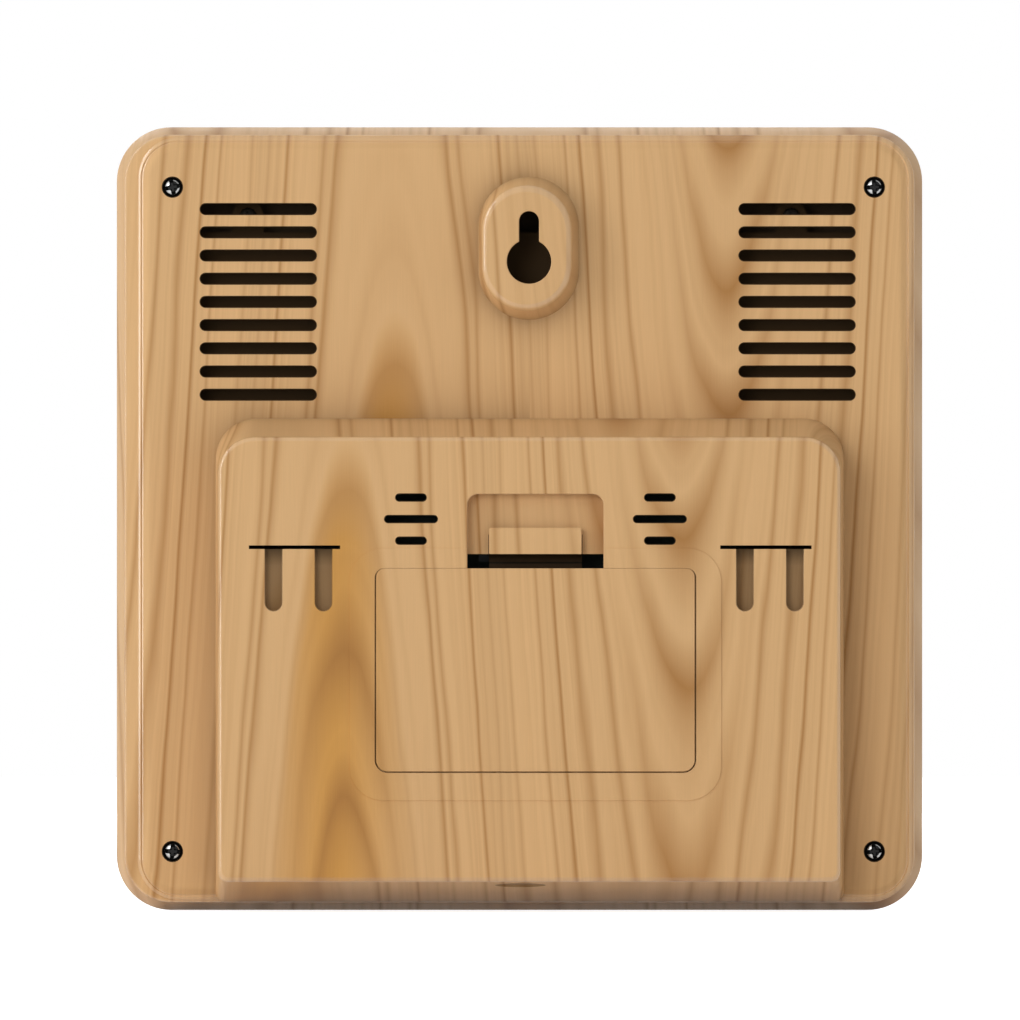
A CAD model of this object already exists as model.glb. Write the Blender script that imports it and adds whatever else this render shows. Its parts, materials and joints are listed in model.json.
"""A wood-grain weather station clock, seen from its battery side.

Sizes in the constants are millimetres; finished meshes are metres. The display looks towards -Y,
the battery side towards +Y, and +Z is up. Seen from behind, +X is on the left.
"""

import json
import math
from collections import namedtuple

import bmesh
import bpy
from bpy.props import FloatProperty, FloatVectorProperty, IntProperty, PointerProperty
from mathutils import Matrix, Vector

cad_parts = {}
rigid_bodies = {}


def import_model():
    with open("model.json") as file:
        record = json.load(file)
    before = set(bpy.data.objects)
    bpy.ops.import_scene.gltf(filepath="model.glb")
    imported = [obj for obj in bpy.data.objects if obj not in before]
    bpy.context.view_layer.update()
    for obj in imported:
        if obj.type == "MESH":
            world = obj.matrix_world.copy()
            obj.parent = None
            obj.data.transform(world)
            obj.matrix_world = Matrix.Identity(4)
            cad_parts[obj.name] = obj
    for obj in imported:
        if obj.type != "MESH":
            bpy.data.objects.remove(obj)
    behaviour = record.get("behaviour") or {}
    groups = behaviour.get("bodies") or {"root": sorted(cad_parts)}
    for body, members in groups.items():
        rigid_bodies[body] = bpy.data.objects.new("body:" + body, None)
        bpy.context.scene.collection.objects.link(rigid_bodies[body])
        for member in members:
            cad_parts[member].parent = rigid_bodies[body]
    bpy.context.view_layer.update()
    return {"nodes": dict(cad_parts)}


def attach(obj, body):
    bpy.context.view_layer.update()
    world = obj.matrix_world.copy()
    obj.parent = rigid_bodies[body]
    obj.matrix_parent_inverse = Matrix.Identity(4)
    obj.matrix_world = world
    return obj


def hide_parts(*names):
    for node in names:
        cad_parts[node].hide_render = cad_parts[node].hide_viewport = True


bl_info = {
    "name": "Weather Station Clock",
    "version": (1, 0, 0),
    "blender": (4, 5, 0),
    "location": "View3D > Sidebar > Clock",
    "description": "Builds a wood-grain weather station clock and its studio stage",
    "category": "Object",
}

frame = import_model()
MM = 0.001

# Depth levels from the display side to the back
FRONT = -19.0
FRAME_BACK = -5.0
COVER_FRONT = -4.8
RIM = 0.0
PLATE = 1.2
HANGER = 6.7
POD = 18.8
BACK = 19.0
WALL = 2.0
GAP = 0.3

# Housing outline
FRAME_EDGE = 2.0
FRAME_STRAIGHT = 5.0
FRAME_TAPER = 1.75
FRAME_WALL = 2.2
RIM_EDGE = 1.3
POD_EDGE = 0.9
HANGER_EDGE = 1.2
BEZEL = 5.0
MASK_FRONT = -16.2
MASK_BACK = -14.6

# Screws and posts
SCREW_HEAD = 4.2
HEAD_ROOM = 0.12
SCREW_SEAT = -1.0
SCREW_TOP = 0.8
SCREW_SHANK = 2.2
SCREW_LENGTH = 12.0
SCREW_ROOM = 0.25

# Battery side
CELL_Y = 11.95
CELL_RADIUS = 5.25
CELL_LENGTH = 44.5
CELL_LEVELS = (64.25, 53.05, 41.85)
DOOR_X = -3.5
SENSOR_X = -38.0
SENSOR_POSTS = (122.0, 136.0)

# Slots, holes and recesses of the rear cover
VENT_X = (-61.25, 57.65)
VENT_TOP = 154.8
VENT_PITCH = 5.12
VENT_ROWS = 9
VENT_SIZE = (25.6, 2.37)
SMALL_VENT_X = (-30.9, 23.9)
SMALL_VENT_Z = 86.4
SMALL_VENT_PITCH = 4.75
SMALL_VENT_LENGTHS = {-1: 6.7, 0: 11.6, 1: 6.7}
SMALL_VENT_HEIGHT = 1.55
HANGER_X = -2.1
KEYHOLE_Z = 143.2
KEYHOLE_TOP = 154.3
KEYHOLE_RADIUS = 4.9
KEYHOLE_SLOT = 4.4
STAND_X = (-54.25, 49.55)
STAND_Z = 80.2
STAND_BAR = (20.1, 0.8)
STEM_SPREAD = 5.5
STEM_SHIFT = -0.88
STEM_WIDTH = 3.64
STEM_LOW = 66.2
STEM_FLOOR = 15.8
POCKET_FLOOR = 14.7
NICK_SIZE = (5.75, 1.7, 0.55)
NICK_SLOPE = 0.269
NICK_PLACE = (-0.2, 15.0, 5.62)

Shape = namedtuple("Shape", "x z top low")


def shape(x, z, top, low=None):
    """A rectangle with round corners, its ranges in X and Z and its two corner radii."""
    return Shape(x, z, top, top if low is None else low)


def shrunk(form, inset):
    """The same rectangle drawn in on every side."""
    return Shape(
        (form.x[0] + inset, form.x[1] - inset), (form.z[0] + inset, form.z[1] - inset),
        max(form.top - inset, 0.2), max(form.low - inset, 0.2))


def blended(first, second, share):
    """A rectangle between two others."""
    def mix(a, b):
        return a + (b - a) * share
    return Shape(
        tuple(map(mix, first.x, second.x)), tuple(map(mix, first.z, second.z)),
        mix(first.top, second.top), mix(first.low, second.low))


def span(middle, size):
    """The range of a size about its middle."""
    return (middle - size / 2, middle + size / 2)


CASE = shape((-89.0, 89.0), (0.0, 173.0), 12.0)
PLATE_SHAPE = shape((-85.6, 83.3), (3.35, 169.65), 8.0)
HANGER_BASE = shape(span(HANGER_X, 22.8), (129.9, 162.4), 11.39)
HANGER_FACE = shape(span(-1.5, 19.4), (132.8, 159.5), 9.69)
POD_BASE = shape((-71.6, 67.1), (1.95, 108.6), 9.0, 2.2)
POD_FACE = shape((-70.6, 66.3), (6.8, 104.3), 8.0, 2.2)
PANEL = shape(span(DOOR_X, 81.9), (24.4, 80.0), 7.5)
DOOR_HOLE = shape(span(DOOR_X, 70.8), (30.5, 75.6), 2.2, 2.9)
LCD = shape((-76.0, 76.0), (33.0, 147.0), 0.5)
POCKET = shape(span(DOOR_X, 30.0), (74.6, 91.9), 2.4, 0.2)
CASE_SCREWS = [(x, z) for z in (13.05, 159.65) for x in (-78.3, 76.6)]
TRAY_EARS = [(x, z) for z in (26.8, 153.2) for x in (-60.0, 60.0)]
BAY_X = (-29.8, 22.8)
BAY_Z = (36.0, 70.1)
BAY_FLOOR = 6.4
BAY_WALL = 1.5
DOOR_SEAT = 17.2
DOOR_INSIDE = 17.5
TABS = (-26.5, 19.5)
LATCH_X = span(DOOR_X, 20.5)
SPRING_CENTRE = (10.05, 76.75)
SPRING_INNER = 1.95
SPRING_OUTER = 3.15
LATCH_LOW = SPRING_CENTRE[1] + SPRING_INNER
LATCH_HIGH = SPRING_CENTRE[1] + SPRING_OUTER
LATCH_ROOM = 0.12
CELL_SHIFT = 3.2
CONTACT = 0.4
CONTACT_WIDTH = 9.5

# Display side
WINDOW_BACK = -16.8
LCD_FACE = -14.4
TOUCH_X = (-44.0, -22.0, 0.0, 22.0, 44.0)
TOUCH_Z = 19.0

# Pod and hanger stand out behind OFF_PLATE, and above HANGER_LOW only the hanger does
OFF_PLATE = PLATE + 0.1
HANGER_LOW = 115.0

# Edge sections: the rim and the plate as (depth, inset), the bead as (share of its width, height)
RIM_SECTION = ((0.95, 0.10), (0.76, 0.22), (0.66, 0.45), (0.28, 1.7), (0.08, 2.7), (0.0, 3.5))
BEAD_SECTION = ((0.0, -0.25), (0.03, 0.04), (0.10, 0.12), (0.60, 0.45), (0.72, 0.49), (0.90, 0.40))
PLATE_SECTION = ((0.84, 0.05), (0.17, 1.15), (0.06, 1.50), (0.01, 1.85), (0.0, 2.2))

# The stage, in metres
CLOCK_MIDDLE = Vector((0, 0, 0.09))
CAMERA_PLACE = (0.0021, 0.0884)
MEASURED_BEHIND = 0.0145
SENSOR_WIDTH = 36.0

# Material slots of a solid
OUTSIDE, INSIDE, RECESS = 0, 1, 2


class ClockSizes(bpy.types.PropertyGroup):
    """Sizes of the fine surface that a user would change"""
    corner_steps: IntProperty(
        name="Corner steps", description="Segments of each round corner", default=16, min=4, max=32)
    edge_steps: IntProperty(
        name="Edge steps", description="Segments of each rounded edge", default=6, min=4, max=12)
    slot_chamfer: FloatProperty(
        name="Slot chamfer", description="Width of the small chamfer round slots and holes",
        default=0.00016, min=0.00005, max=0.0004, unit="LENGTH", precision=5)
    bead_width: FloatProperty(
        name="Bead width", description="Width of the low bead round the rear plate",
        default=0.001, min=0.0003, max=0.0015, unit="LENGTH", precision=5)
    groove_depth: FloatProperty(
        name="Groove depth", description="Depth of the fine groove between bead and rear plate",
        default=0.00007, min=0.00003, max=0.0004, unit="LENGTH", precision=5)


class ClockGrain(bpy.types.PropertyGroup):
    """The printed wood grain"""
    base: FloatVectorProperty(
        name="Base", description="Light wood between the rings", subtype="COLOR", size=3,
        default=(0.680, 0.424, 0.203), min=0.0, max=1.0)
    streak: FloatVectorProperty(
        name="Streak", description="Dark line of a ring", subtype="COLOR", size=3,
        default=(0.380, 0.180, 0.055), min=0.0, max=1.0)
    flame: FloatVectorProperty(
        name="Flame", description="Orange wood inside the rising arches", subtype="COLOR", size=3,
        default=(0.610, 0.315, 0.085), min=0.0, max=1.0)
    rings: FloatProperty(
        name="Rings", description="Half the rings between a rising and a falling arch",
        default=11.75, min=2.0, max=20.0)
    arch_distance: FloatProperty(
        name="Arch distance", description="Distance between a rising and a falling arch",
        default=0.0743, min=0.02, max=0.2, unit="LENGTH", precision=4)
    arch_place: FloatProperty(
        name="Arch place", description="Place of the rising arch, from the middle to the right",
        default=-0.028, min=-0.1, max=0.1, unit="LENGTH", precision=4)
    arch_height: FloatProperty(
        name="Arch height", description="Height of the top of a rising arch",
        default=0.140, min=0.0, max=0.3, unit="LENGTH", precision=4)
    ring_height: FloatProperty(
        name="Ring height", description="Height from one ring to the next at an arch",
        default=0.033, min=0.005, max=0.1, unit="LENGTH", precision=4)


class ClockStage(bpy.types.PropertyGroup):
    """The studio round the clock"""
    distance: FloatProperty(
        name="Camera distance", description="Distance of the camera behind the clock",
        default=8.0, min=0.5, max=20.0, unit="LENGTH")
    view_width: FloatProperty(
        name="View width", description="Width that the picture covers at the clock",
        default=0.22553, min=0.1, max=1.0, unit="LENGTH", precision=5)
    key_power: FloatProperty(
        name="Key light", description="Power of the light at the upper left",
        default=13.0, min=0.0, max=500.0, unit="POWER")
    fill_power: FloatProperty(
        name="Fill light", description="Power of the soft light behind the camera",
        default=2.0, min=0.0, max=500.0, unit="POWER")
    side_power: FloatProperty(
        name="Side light", description="Power of the light that grazes the left and upper edges",
        default=7.0, min=0.0, max=500.0, unit="POWER")
    front_power: FloatProperty(
        name="Front light", description="Power of the soft light on the display side",
        default=17.0, min=0.0, max=500.0, unit="POWER")
    room_light: FloatProperty(
        name="Room light", description="Strength of the even light of the room",
        default=0.68, min=0.0, max=2.0)


def sizes():
    """The sizes set in the panel."""
    return bpy.context.scene.clock_sizes


# Solids, drawn in millimetres

def round_ring(bm, y, form, steps):
    """The outline of a rounded rectangle at a depth: four vertices with bevelled corners."""
    corners = [(form.x[1], form.z[0]), (form.x[1], form.z[1]),
               (form.x[0], form.z[1]), (form.x[0], form.z[0])]
    verts = [bm.verts.new((x, y, z)) for x, z in corners]
    bm.faces.new(verts)
    known = set(bm.verts) - set(verts)
    for pair, radius in ((verts[1:3], form.top), ((verts[0], verts[3]), form.low)):
        bmesh.ops.bevel(
            bm, geom=list(pair), offset=radius, segments=steps, profile=0.5,
            affect="VERTICES", material=-1, clamp_overlap=False)
    return next(face for face in bm.faces if not known.intersection(face.verts))


def tower(rings, steps=None, finish=INSIDE):
    """A closed solid through rounded rectangles at given depths."""
    steps = steps or sizes().corner_steps
    bm = bmesh.new()
    last = None
    for number, (y, form) in enumerate(rings):
        face = round_ring(bm, y, form, steps)
        loop = list(face.edges)
        if 0 < number < len(rings) - 1:
            bmesh.ops.delete(bm, geom=[face], context="FACES_ONLY")
        if last:
            bmesh.ops.bridge_loops(bm, edges=last + loop)
        last = loop
    return finished(bm, finish)


def finished(bm, finish=INSIDE):
    """A solid as a mesh, its faces outwards and with one finish."""
    bmesh.ops.recalc_face_normals(bm, faces=bm.faces)
    for face in bm.faces:
        face.material_index = finish
    mesh = bpy.data.meshes.new("solid")
    bm.to_mesh(mesh)
    bm.free()
    for _ in range(3):
        mesh.materials.append(None)
    return mesh


def slab(form, y, steps=None, finish=INSIDE):
    """A plate with straight sides between two depths."""
    return tower([(y[0], form), (y[1], form)], steps, finish)


def edge_angles():
    """Angles round an edge, with one broad facet that catches the side light."""
    steps = sizes().edge_steps
    first = steps // 2
    last = steps - first - 1
    return ([math.radians(42 * step / first) for step in range(first + 1)]
            + [math.radians(70 + 20 * step / last) for step in range(last + 1)])


def drafted(base, face, y, edge):
    """Rings of a drafted block whose rear edge is rounded by a radius."""
    rings = [(y[0], base)]
    for angle in edge_angles():
        level = y[1] - edge * (1 - math.sin(angle))
        share = (level - y[0]) / (y[1] - y[0])
        rings.append((level, shrunk(blended(base, face, share), edge * (1 - math.cos(angle)))))
    return rings


def flared(form, y, mouth, steps=None, finish=INSIDE):
    """A cutter that opens by the slot chamfer where it meets the surface at mouth."""
    flare = sizes().slot_chamfer / MM
    wide = shrunk(form, -flare)
    wide = wide._replace(top=form.top + flare, low=form.low + flare)
    return tower([(y[0], form), (mouth - flare, form), (mouth, wide), (y[1], wide)], steps, finish)


def slot_shape(x, z):
    """A slot with round ends."""
    radius = min(x[1] - x[0], z[1] - z[0]) / 2 * 0.998
    return shape(x, z, radius)


def brick(x, y, z, edge=0.0, finish=INSIDE):
    """A box with its edges rounded by a small bevel."""
    bm = bmesh.new()
    bmesh.ops.create_cube(bm, size=1.0)
    bmesh.ops.scale(bm, vec=(x[1] - x[0], y[1] - y[0], z[1] - z[0]), verts=bm.verts)
    bmesh.ops.translate(
        bm, vec=(sum(x) / 2, sum(y) / 2, sum(z) / 2), verts=bm.verts)
    if edge:
        bmesh.ops.bevel(bm, geom=list(bm.edges), offset=edge, segments=3, profile=0.5,
                        affect="EDGES", material=-1)
    return finished(bm, finish)


def rod(x, z, radius, y, segments=48, finish=INSIDE, end_radius=None):
    """A round bar along Y."""
    bm = bmesh.new()
    bmesh.ops.create_cone(
        bm, cap_ends=True, segments=segments, radius1=radius,
        radius2=radius if end_radius is None else end_radius, depth=y[1] - y[0])
    bmesh.ops.rotate(bm, cent=(0, 0, 0), matrix=Matrix.Rotation(-math.pi / 2, 3, "X"), verts=bm.verts)
    bmesh.ops.translate(bm, vec=(x, sum(y) / 2, z), verts=bm.verts)
    return finished(bm, finish)


def spring_bend(start, towards):
    """Half of the latch spring's bend; start is its angle from +Y towards +Z."""
    bm = bmesh.new()
    side = Vector((0, math.cos(start), math.sin(start)))
    middle = Vector((0, *SPRING_CENTRE))
    sweep = towards * (math.pi / 2 - GAP / (SPRING_INNER + SPRING_OUTER))
    left, right = LATCH_X
    verts = [bm.verts.new(middle + side * radius + Vector((x, 0, 0)))
             for x, radius in ((left, SPRING_INNER), (right, SPRING_INNER),
                               (right, SPRING_OUTER), (left, SPRING_OUTER))]
    face = bm.faces.new(verts)
    bmesh.ops.spin(
        bm, geom=[face, *face.edges, *verts], cent=middle, axis=(1, 0, 0), dvec=(0, 0, 0),
        angle=sweep, steps=18, use_merge=False, use_duplicate=False)
    return finished(bm)


def turned(profile, segments=48):
    """A solid of revolution about Y from (radius, depth) points, both ends on the axis."""
    bm = bmesh.new()
    verts = [bm.verts.new((radius, y, 0)) for radius, y in profile]
    edges = [bm.edges.new(pair) for pair in zip(verts, verts[1:])]
    bmesh.ops.spin(
        bm, geom=verts + edges, cent=(0, 0, 0), axis=(0, 1, 0), dvec=(0, 0, 0),
        angle=2 * math.pi, steps=segments, use_merge=True, use_duplicate=False)
    bmesh.ops.remove_doubles(bm, verts=bm.verts, dist=0.0001)
    return finished(bm, OUTSIDE)


def moved(mesh, offset, turn=None):
    """The mesh placed, after an optional turn."""
    if turn is not None:
        mesh.transform(turn)
    mesh.transform(Matrix.Translation(offset))
    return mesh


def combined(base, others, operation):
    """Join, cut or intersect a solid with others."""
    host = bpy.data.objects.new("host", base)
    bpy.context.scene.collection.objects.link(host)
    tools = bpy.data.collections.new("tools")
    bpy.context.scene.collection.children.link(tools)
    for other in others:
        tools.objects.link(bpy.data.objects.new("tool", other))
    step = host.modifiers.new("combine", "BOOLEAN")
    step.operand_type = "COLLECTION"
    step.collection = tools
    step.operation = operation
    step.solver = "EXACT"
    step.material_mode = "INDEX"
    bpy.context.view_layer.update()
    dg = bpy.context.evaluated_depsgraph_get()
    result = bpy.data.meshes.new_from_object(host.evaluated_get(dg), depsgraph=dg)
    for piece in list(tools.objects):
        mesh = piece.data
        bpy.data.objects.remove(piece)
        bpy.data.meshes.remove(mesh)
    bpy.data.collections.remove(tools)
    bpy.data.objects.remove(host)
    bpy.data.meshes.remove(base)
    return result


def joined(base, *others):
    """Solids melted into one."""
    return combined(base, others, "UNION")


def cut(base, *others):
    """A solid less other solids."""
    return combined(base, others, "DIFFERENCE")


def place(name, mesh, materials, body, nodes=(), sharp=40.0, weighted=True):
    """Turn a solid into a finished piece of the clock that rides on a body."""
    mesh.transform(Matrix.Scale(MM, 4))
    mesh.name = name
    piece = bpy.data.objects.new(name, mesh)
    bpy.context.scene.collection.objects.link(piece)
    finishes = [polygon.material_index for polygon in mesh.polygons]
    mesh.materials.clear()
    for material in materials:
        mesh.materials.append(material)
    mesh.polygons.foreach_set("material_index", finishes)
    for polygon in mesh.polygons:
        polygon.use_smooth = True
    mesh.set_sharp_from_angle(angle=math.radians(sharp))
    if weighted:
        normals = piece.modifiers.new("face_weighted_normals", "WEIGHTED_NORMAL")
        normals.keep_sharp = True
        normals.weight = 100
    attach(piece, body)
    if nodes:
        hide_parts(*nodes)
    return piece


# Finishes

class Graph:
    """Adds shader nodes to a new material or world and links them."""

    def __init__(self, owner, blank=False):
        owner.use_nodes = True
        self.owner = owner
        self.tree = owner.node_tree
        if blank:
            self.tree.nodes.clear()
        self.shader = self.tree.nodes.get("Principled BSDF")

    def add(self, kind, inputs=None, **settings):
        node = self.tree.nodes.new(kind)
        for key, value in settings.items():
            setattr(node, key, value)
        for key, value in (inputs or {}).items():
            self.set(node.inputs[key], value)
        return node

    def set(self, socket, value):
        if isinstance(value, bpy.types.NodeSocket):
            self.tree.links.new(value, socket)
        else:
            socket.default_value = value

    def math(self, operation, a, b=0.0, c=0.0, clamp=False):
        node = self.add("ShaderNodeMath", operation=operation, use_clamp=clamp)
        for socket, value in zip(node.inputs, (a, b, c)):
            self.set(socket, value)
        return node.outputs[0]

    def within(self, value, low, high):
        """1 where a value lies between two others."""
        return self.math("MULTIPLY", self.math("GREATER_THAN", value, low),
                         self.math("LESS_THAN", value, high))

    def vector(self, x, y, z):
        return self.add("ShaderNodeCombineXYZ", {"X": x, "Y": y, "Z": z}).outputs[0]

    def where(self):
        """The place on the clock in metres."""
        return self.add("ShaderNodeTexCoord").outputs["Object"]

    def noise(self, vector, scale=1.0, detail=2.0):
        return self.add("ShaderNodeTexNoise", {
            "Vector": vector, "Scale": scale, "Detail": detail, "Roughness": 0.5,
        }).outputs["Fac"]

    def streaks(self, value, scale, seed, detail, along=0.0, along_scale=0.0):
        """Noise over a value, drawn out along the wood."""
        far = self.math("MULTIPLY", along, along_scale) if along_scale else 0.0
        return self.noise(self.vector(self.math("MULTIPLY", value, scale), seed, far), detail=detail)

    def ramp(self, value, *stops):
        """A ramp of greys, given as (place, grey) stops from 0 to 1."""
        node = self.add("ShaderNodeValToRGB", {"Fac": value})
        elements = node.color_ramp.elements
        for spot, _ in stops[1:-1]:
            elements.new(spot)
        for element, (_, grey) in zip(elements, stops):
            element.color = (grey, grey, grey, 1)
        return node.outputs["Color"]

    def mix(self, share, a, b, blend="MIX"):
        node = self.add("ShaderNodeMix", data_type="RGBA", blend_type=blend)
        for socket, value in ((node.inputs[0], share), (node.inputs[6], a), (node.inputs[7], b)):
            if hasattr(value, "__len__") and len(value) == 3:
                value = (*value, 1)
            self.set(socket, value)
        return node.outputs[2]

    def shaded(self, colour, shade):
        """A colour times a shade."""
        return self.mix(1.0, colour, self.vector(shade, shade, shade), "MULTIPLY")

    def object_mm(self):
        """The place on the clock in millimetres: to the right as seen from behind, back, up."""
        parts = self.add("ShaderNodeSeparateXYZ", {"Vector": self.where()}).outputs
        return [self.math("MULTIPLY", part, factor)
                for part, factor in zip(parts, (-1000.0, 1000.0, 1000.0))]

    def sees_white(self):
        """1 where a camera, mirror or glass ray looks, 0 for light that falls on the clock."""
        path = self.add("ShaderNodeLightPath").outputs
        share = self.math("MAXIMUM", path["Is Camera Ray"], path["Is Glossy Ray"])
        return self.math("MAXIMUM", share, path["Is Transmission Ray"])

    def bump(self, height, distance, strength):
        node = self.add("ShaderNodeBump", {
            "Height": height, "Distance": distance, "Strength": strength})
        self.set(self.shader.inputs["Normal"], node.outputs[0])

    def done(self, **values):
        for key, value in values.items():
            self.set(self.shader.inputs[key.replace("_", " ")], value)
        return self.owner


def print_place(g, right, back, up):
    """The place on the stretched film, and the place across and along in its print."""
    # Round the sides the film is stretched over the depth
    normal = g.add("ShaderNodeTexCoord").outputs["Normal"]
    sideways = g.add("ShaderNodeSeparateXYZ", {"Vector": normal}).outputs[0]
    off_plate = g.math("GREATER_THAN", back, OFF_PLATE)
    edge = g.math("MULTIPLY_ADD", g.math("GREATER_THAN", up, HANGER_LOW), HANGER - POD, POD)
    below_edge = g.math("SUBTRACT", back, g.math("MULTIPLY", off_plate, edge))
    stretch = g.math("MULTIPLY", g.math("ABSOLUTE", sideways), 0.35)
    right = g.math("MULTIPLY_ADD", stretch, below_edge, right)
    # The print starts afresh on the pod's face, on the steep walls and on the front frame
    on_face = g.math("GREATER_THAN", back, POD - 0.95)
    on_wall = g.math("SUBTRACT", off_plate, on_face)
    on_frame = g.math("LESS_THAN", back, FRAME_BACK)
    across, along = right, up
    for part, over, higher in ((on_face, 10.4, 27.5), (on_wall, 24.0, 57.0), (on_frame, -31.0, 0.0)):
        across = g.math("MULTIPLY_ADD", part, over, across)
        along = g.math("MULTIPLY_ADD", part, higher, along)
    return right, across, along


def ring_field(g, look, across, along):
    """A field whose whole numbers are the rings, with its arches and where it turns over."""
    turn = g.math("MULTIPLY", g.math("SUBTRACT", across, look.arch_place / MM),
                  math.pi * MM / look.arch_distance)
    arch = g.math("COSINE", turn)
    rise = g.math("MULTIPLY", g.math("SUBTRACT", along, look.arch_height / MM),
                  MM / look.ring_height)
    rise = g.math("MULTIPLY", rise, g.math("MULTIPLY_ADD", arch, -0.2, 1.0))
    field = g.math("ADD", rise, g.math("MULTIPLY_ADD", arch, -look.rings, look.rings))
    at_arch = g.math("POWER", g.math("ABSOLUTE", arch), 10.0)
    # Rings drift, keep uneven distances and wobble most between the arches
    drift = g.streaks(across, 0.030, 0.0, 1.5, along, 0.010)
    field = g.math("ADD", field, g.math("MULTIPLY_ADD", drift, 1.5, -0.75))
    uneven = g.streaks(field, 0.42, 9.3, 0.0)
    field = g.math("ADD", field, g.math("MULTIPLY_ADD", uneven, 2.4, -1.2))
    wobble = g.streaks(across, 0.16, 3.1, 2.0, along, 0.020)
    wobble = g.math("MULTIPLY", g.math("SUBTRACT", wobble, 0.5), g.math("SUBTRACT", 1.1, at_arch))
    field = g.math("MULTIPLY_ADD", wobble, 0.8, field)
    return field, turn, arch, at_arch


def ring_lines(g, field, arch, at_arch, along):
    """How dark the ring lines are: soft on one side, hard on the other, each with its weight."""
    shifted = g.math("ADD", field, 0.6)
    ring = g.ramp(g.math("FRACT", shifted),
                  (0.0, 0.0), (0.08, 0.06), (0.36, 0.50), (0.57, 1.0), (0.75, 0.52), (0.94, 0.03),
                  (1.0, 0.0))
    weight = g.add("ShaderNodeTexWhiteNoise", {"W": g.math("FLOOR", shifted)},
                   noise_dimensions="1D").outputs["Value"]
    weight = g.math("POWER", weight, 2.6)
    rising = g.math("MULTIPLY_ADD", field, -0.45, 0.60, clamp=True)
    rising = g.math("MAXIMUM", rising, g.math("LESS_THAN", arch, 0.0))
    weight = g.math("MAXIMUM", weight, g.math("MULTIPLY", at_arch, g.math("MULTIPLY", rising, 0.95)))
    ring = g.math("MULTIPLY", ring, weight)
    fine = g.streaks(field, 2.6, 6.2, 1.0, along, 0.006)
    fine = g.math("MULTIPLY_ADD", fine, 2.4, -1.0, clamp=True)
    return g.math("MAXIMUM", g.math("MULTIPLY", ring, 0.95), g.math("MULTIPLY", fine, 0.24))


def orange_wood(g, field, turn):
    """Where the wood is orange, inside the rising arches."""
    middle = g.math("COSINE", g.math("ADD", turn, 0.10))
    middle = g.math("POWER", g.math("MULTIPLY_ADD", middle, 0.5, 0.5), 16.0)
    return g.math("MULTIPLY", middle, g.math("MULTIPLY_ADD", field, -1.2, 0.5, clamp=True))


def softly_darker(g, shade, right, back, up):
    """The plate darkens towards the pod and the hanger, and their walls towards the plate."""
    on_plate = g.within(back, 0.0, OFF_PLATE)
    for form, amount, less, reach in ((POD_BASE, 0.32, 0.16, 5.5), (HANGER_BASE, 0.36, 0.06, 3.0)):
        outside = []
        for value, low, high in ((right, -form.x[1], -form.x[0]), (up, *form.z)):
            from_middle = g.math("ABSOLUTE", g.math("SUBTRACT", value, (low + high) / 2))
            beyond = g.math("SUBTRACT", from_middle, (high - low) / 2 - form.top)
            outside.append(g.math("POWER", g.math("MAXIMUM", beyond, 0.0), 2.0))
        away = g.math("SUBTRACT", g.math("SQRT", g.math("ADD", *outside)), form.top)
        near = g.math("EXPONENT", g.math("MULTIPLY", g.math("MAXIMUM", away, 0.0), -1 / reach))
        far_side = g.math("GREATER_THAN", right, -sum(form.x) / 2)
        near = g.math("MULTIPLY", near, g.math("MULTIPLY_ADD", far_side, -less, amount))
        near = g.math("MULTIPLY", near, on_plate)
        shade = g.math("MULTIPLY", shade, g.math("SUBTRACT", 1.0, near))
    foot = g.math("EXPONENT", g.math("MULTIPLY_ADD", back, -0.6, 0.6 * PLATE))
    foot = g.math("MULTIPLY", g.math("MULTIPLY", foot, g.math("GREATER_THAN", back, OFF_PLATE)), 0.28)
    return g.math("MULTIPLY", shade, g.math("SUBTRACT", 1.0, foot))


def glossy_edges(g, back, up):
    """Where the film lies thick and glossy, on the rounded edges of rim, plate, pod and hanger."""
    glossy = g.math("MULTIPLY", g.within(back, 5.5, HANGER - 0.03),
                    g.math("GREATER_THAN", up, HANGER_LOW))
    for low, high in ((-0.95, -0.62), (0.0, 0.475), (POD - 0.9, POD - 0.03)):
        glossy = g.math("MAXIMUM", glossy, g.within(back, low, high))
    return g.math("MULTIPLY", glossy, 0.95)


def wood_grain(name, recess_light=None):
    """Printed pine: rings that run up the board and turn over in rising and falling arches."""
    look = bpy.context.scene.clock_grain
    g = Graph(bpy.data.materials.new(name))
    right, back, up = g.object_mm()
    right, across, along = print_place(g, right, back, up)
    field, turn, arch, at_arch = ring_field(g, look, across, along)
    lines = ring_lines(g, field, arch, at_arch, along)
    hair = g.streaks(across, 4.2, 2.0, 2.0, along, 0.07)
    band = g.streaks(field, 0.30, 4.1, 1.0)
    colour = g.mix(orange_wood(g, field, turn), tuple(look.base), tuple(look.flame))
    colour = g.mix(lines, colour, tuple(look.streak))
    shade = g.math("MULTIPLY_ADD", hair, 0.10, 0.87)
    shade = g.math("MULTIPLY_ADD", band, 0.16, shade)
    if recess_light:
        # A recess is darkest where it goes in under its slot
        deep = g.math("MULTIPLY_ADD", g.math("SUBTRACT", STAND_Z, up), 0.16, 0.35, clamp=True)
        shade = g.math("MULTIPLY", shade, g.math("MULTIPLY", deep, recess_light))
    shade = softly_darker(g, shade, right, back, up)
    g.bump(g.math("ADD", hair, g.math("MULTIPLY", lines, 0.6)), 0.00002, 0.6)
    return g.done(
        Base_Color=g.shaded(colour, shade), Roughness=g.math("MULTIPLY_ADD", lines, 0.08, 0.40),
        Specular_IOR_Level=0.05, Coat_Weight=glossy_edges(g, back, up), Coat_Roughness=0.12,
        Coat_IOR=1.55)


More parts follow.
